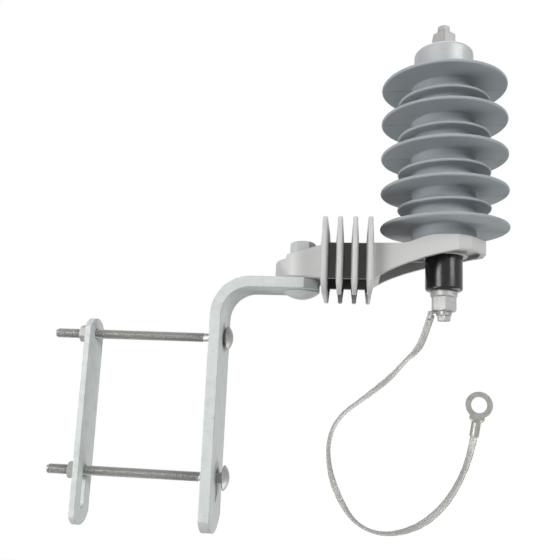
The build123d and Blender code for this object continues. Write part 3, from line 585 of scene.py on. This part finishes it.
def threaded_rod(bm, radius, pitch, z0, z1):
    """Rolled thread from z0 to z1 round a core with a tapered end, laid a turn at a time."""
    core_r = radius - THREAD_DEPTH * pitch
    shape = [(core_r, 0), (radius, CREST_START), (radius, CREST_END), (core_r, THREAD_FOOT), (core_r, 1)]
    part = bmesh.new()
    verts = [part.verts.new((r, 0, z0 + z * pitch)) for r, z in shape]
    edges = [part.edges.new(pair) for pair in zip(verts, verts[1:])]
    bmesh.ops.spin(part, geom=verts + edges, cent=(0, 0, 0), axis=(0, 0, 1),
                   dvec=(0, 0, pitch / THREAD_STEPS), angle=2 * pi, steps=THREAD_STEPS)
    turn = bpy.data.meshes.new("turn")
    part.to_mesh(turn)
    part.clear()
    for _ in range(int((z1 - z0) / pitch) - 1):
        part.from_mesh(turn)
        turn.transform(Matrix.Translation((0, 0, pitch)))
    bpy.data.meshes.remove(turn)
    bmesh.ops.remove_doubles(part, verts=part.verts, dist=1e-6)
    bmesh.ops.recalc_face_normals(part, faces=part.faces)
    merge(bm, part)
    core = bmesh.new()
    taper_z, end_r = z1 - END_TAPER * pitch, core_r - END_INSET * pitch
    lathe(core, [(0, z0), (core_r, z0), (core_r, taper_z), (end_r, z1), (0, z1)], CORE_STEPS)
    merge(bm, core)


def carriage_bolt(head_r, length, head_h, r, neck, plain_to, pitch):
    """Carriage bolt standing on its head, with square neck, plain shank and rolled thread."""
    bm = bmesh.new()
    domed_head(bm, head_r, head_h)
    square = bmesh.new()
    bmesh.ops.create_cube(square, size=1)
    bmesh.ops.scale(square, vec=(2 * r, 2 * r, neck), verts=square.verts)
    bmesh.ops.translate(square, vec=(0, 0, neck / 2), verts=square.verts)
    uprights = [e for e in square.edges if abs(e.verts[0].co.z - e.verts[1].co.z) > neck / 2]
    bmesh.ops.bevel(square, geom=uprights, offset=NECK_CORNER * r, segments=2, affect="EDGES",
                    profile=0.5, material=-1)
    merge(bm, square)
    shank_r, shoulder_r = r - SHANK_INSET * pitch, r - SHOULDER_INSET * pitch
    shoulder_z = plain_to + SHOULDER_LENGTH * pitch
    shank = bmesh.new()
    lathe(shank, [(0, 0), (shank_r, 0), (shank_r, plain_to), (shoulder_r, shoulder_z), (0, shoulder_z)],
          SHANK_STEPS)
    merge(bm, shank)
    threaded_rod(bm, r, pitch, plain_to, length)
    return bm


def add_rods(material):
    """Both M8 rods, each lying along -X with its head outside the leg."""
    for node in ("upper_carriage_bolt", "lower_carriage_bolt"):
        low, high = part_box(node)
        head_face = high[0] - ROD["head_h"]
        bm = carriage_bolt((high[1] - low[1]) / 2, head_face - low[0], **ROD)
        place = Matrix.Translation((head_face, 0, (low[2] + high[2]) / 2)) @ lay_along((-1, 0, 0))
        bmesh.ops.transform(bm, matrix=place, verts=bm.verts)
        finish_piece(bm, node + "_threaded", material, node)


def add_arm_bolt(material):
    """M12 bolt up through strap and arm."""
    low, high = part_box("arm_carriage_bolt")
    head_face = low[2] + ARM_BOLT["head_h"]
    bm = carriage_bolt((high[0] - low[0]) / 2, high[2] - head_face, **ARM_BOLT)
    bmesh.ops.translate(bm, vec=((low[0] + high[0]) / 2, 0, head_face), verts=bm.verts)
    finish_piece(bm, "arm_carriage_bolt_threaded", material, "arm_carriage_bolt")


# --- ground lead ---
LEAD_POINTS = [
    (183.632, 0, 83.282), (179.656, 0, 69.859), (173.5, 0, 54), (162.5, -0.5, 44), (151, -1.5, 30),
    (131, -3, 13.5), (109, -4.5, -3), (100, -5.5, -23.5), (102.5, -6, -49), (112, -5, -71),
    (125, -3.5, -88), (146, -2.5, -95), (172, -1.5, -88.5), (192, -1, -72.5), (205.5, -0.5, -52.5),
    (215.275, 0, -28.523), (218.681, 0, -8.817),
]

# the woven tube's width, thickness and the step between its stations
BRAID_W, BRAID_T, BRAID_STEP = 5.8 * MM, 1.7 * MM, 0.75 * MM

# bundles each way, the length in which one goes once round, and how far it waves in and out
BRAID_STRANDS, BRAID_LAY, BRAID_WEAVE = 14, 17 * MM, 0.16 * MM

# how strongly the round of the tube is pressed flat
BRAID_FLATNESS = 0.55

# share of the lead's length, and the degrees by which the flat is turned there
BRAID_TURNS = [(0, 10), (0.07, 15), (0.13, 60), (0.2, 40), (0.3, 62), (0.42, 66), (0.5, 40), (0.62, 82),
               (0.78, 40), (0.9, 52), (1, 30)]

# half the width and half the thickness of one bundle, and its section
STRAND_W, STRAND_T, STRAND_SIDES = 0.60 * MM, 0.26 * MM, 6
STRAND_ANGLES = [2 * pi * k / STRAND_SIDES for k in range(STRAND_SIDES)]
STRAND_SECTION = [(cos(a), sin(a)) for a in STRAND_ANGLES]

LUG_T, LUG_EYE_R, LUG_BORE_R, LUG_STEPS = 1.6 * MM, 6.5 * MM, 3.25 * MM, 48
LUG_TAIL, LUG_TAIL_DOWN, LUG_EDGE = (6.4 * MM, 2.5 * MM, 7 * MM), 0.8 * MM, 0.6 * MM


def lead_route():
    """Points along the lead's NURBS line, from the disconnector's lug to the ring terminal."""
    line = bpy.data.curves.new("lead_line", "CURVE")
    line.dimensions = "3D"
    line.resolution_u = 24
    spline = line.splines.new("NURBS")
    spline.points.add(len(LEAD_POINTS) - 1)
    for point, (x, y, z) in zip(spline.points, LEAD_POINTS):
        point.co = (x * MM, y * MM, z * MM, 1)
    spline.order_u = 3
    spline.use_endpoint_u = True
    carrier = bpy.data.objects.new("lead_line", line)
    bpy.context.scene.collection.objects.link(carrier)
    mesh = bpy.data.meshes.new_from_object(carrier)
    route = [v.co.copy() for v in mesh.vertices]
    bpy.data.objects.remove(carrier)
    bpy.data.meshes.remove(mesh)
    return route


def along(route, spacing):
    """Points at even spacing on a polyline, with the way at each, and the polyline's length."""
    lengths = [0.0]
    for a, b in zip(route, route[1:]):
        lengths.append(lengths[-1] + (b - a).length)
    count = round(lengths[-1] / spacing)
    points, k = [], 0
    for i in range(count + 1):
        s = lengths[-1] * i / count
        while k < len(route) - 2 and lengths[k + 1] < s:
            k += 1
        span = lengths[k + 1] - lengths[k]
        points.append(route[k].lerp(route[k + 1], (s - lengths[k]) / span))
    ways = [(points[min(i + 1, count)] - points[max(i - 1, 0)]).normalized() for i in range(count + 1)]
    return points, ways, lengths[-1]


def braid_turn(share):
    """Radians by which the flat of the braid is turned from facing -Y, eased between the listed places."""
    for (s0, a0), (s1, a1) in zip(BRAID_TURNS, BRAID_TURNS[1:]):
        if share <= s1:
            t = (share - s0) / (s1 - s0)
            t = t * t * (3 - 2 * t)
            return radians(a0 + (a1 - a0) * t)
    return radians(BRAID_TURNS[-1][1])


def braid_stations(points, ways, length):
    """Centre, way, the braid's wide and thin directions, and the length so far, at each point."""
    stations = []
    for i, (point, way) in enumerate(zip(points, ways)):
        share = i / (len(points) - 1)
        turn = braid_turn(share)
        across = way.cross(Vector((0, -1, 0))).normalized()
        out = across.cross(way).normalized()
        wide = cos(turn) * across + sin(turn) * out
        thin = cos(turn) * out - sin(turn) * across
        stations.append((point, way, wide, thin, length * share))
    return stations


def add_strand(bm, stations, hand, strand):
    """One flat bundle of strands that winds round the flattened tube, over one and under one."""
    half_w, half_t = BRAID_W / 2 - STRAND_W / 2, BRAID_T / 2 - STRAND_T
    last = None
    for point, way, wide, thin, s in stations:
        turned = 2 * pi * s / BRAID_LAY
        angle = hand * turned + 2 * pi * strand / BRAID_STRANDS
        across, up = cos(angle), sin(angle) / (abs(sin(angle)) ** BRAID_FLATNESS + 1e-6)
        weave = BRAID_WEAVE * hand * cos(BRAID_STRANDS * turned + pi * strand)
        outward = (wide * (across * BRAID_T / BRAID_W) + thin * up).normalized()
        centre = point + wide * (half_w * across) + thin * (half_t * up) + outward * weave
        heading = (way - wide * (hand * sin(angle) * 2 * pi * half_w / BRAID_LAY)).normalized()
        side = heading.cross(outward).normalized() * STRAND_W
        rise = outward * STRAND_T
        ring = [bm.verts.new(centre + side * x + rise * z) for x, z in STRAND_SECTION]
        if last:
            for k in range(STRAND_SIDES):
                bm.faces.new((last[k], last[k - 1], ring[k - 1], ring[k]))
        else:
            bm.faces.new(ring)
        last = ring
    bm.faces.new(last[::-1])


def add_braid(material):
    """Flat braid from lug to ring, as bundles that wind both ways."""
    route = lead_route()
    points, ways, length = along(route, BRAID_STEP)
    stations = braid_stations(points, ways, length)
    bm = bmesh.new()
    for hand in (1, -1):
        for strand in range(BRAID_STRANDS):
            add_strand(bm, stations, hand, strand)
    bmesh.ops.recalc_face_normals(bm, faces=bm.faces)
    braid = finish_piece(bm, "lead_braid", material, "ground_braid", smooth_angle=60)


def add_lug(material):
    """Eye under the ground terminal, its tail crimped flat round the braid."""
    _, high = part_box("braid_lug")
    top, bottom = high[2], high[2] - LUG_T
    corners = [(LUG_BORE_R, bottom), (LUG_EYE_R, bottom), (LUG_EYE_R, top), (LUG_BORE_R, top)]
    bm = bmesh.new()
    lathe(bm, corners + corners[:1], LUG_STEPS)
    bmesh.ops.translate(bm, vec=(AXIS_X, 0, 0), verts=bm.verts)
    first, second = (Vector(p) * MM for p in LEAD_POINTS[:2])
    way = (second - first).normalized()
    twist = Matrix.Rotation(braid_turn(0), 4, "Z")
    tail = Matrix.Translation(first + way * LUG_TAIL_DOWN) @ lay_along(way) @ twist
    web = Matrix.Translation((AXIS_X - LUG_EYE_R, 0, (top + bottom) / 2))
    for place, size in ((tail, LUG_TAIL), (web, (2 * LUG_EYE_R, LUG_TAIL[0], LUG_T))):
        bar = bmesh.new()
        bmesh.ops.create_cube(bar, size=1)
        bmesh.ops.scale(bar, vec=size, verts=bar.verts)
        bmesh.ops.bevel(bar, geom=bar.edges[:], offset=LUG_EDGE, segments=3, affect="EDGES",
                        profile=0.5, material=-1)
        bmesh.ops.transform(bar, matrix=place, verts=bar.verts)
        merge(bm, bar)
    finish_piece(bm, "braid_lug_crimped", material, "braid_lug")


# --- the whole object ---
add_camera()
for lamp in LAMPS:
    add_lamp(*lamp)
add_world()
add_ground()
FINISHES = dress_nodes()
add_housing(FINISHES["silicone"])
add_rods(FINISHES["plated"])
add_arm_bolt(FINISHES["galvanised"])
add_braid(FINISHES["braid_tinned"])
add_lug(FINISHES["braid_tinned"])

bpy.context.scene.view_settings.view_transform = "Standard"
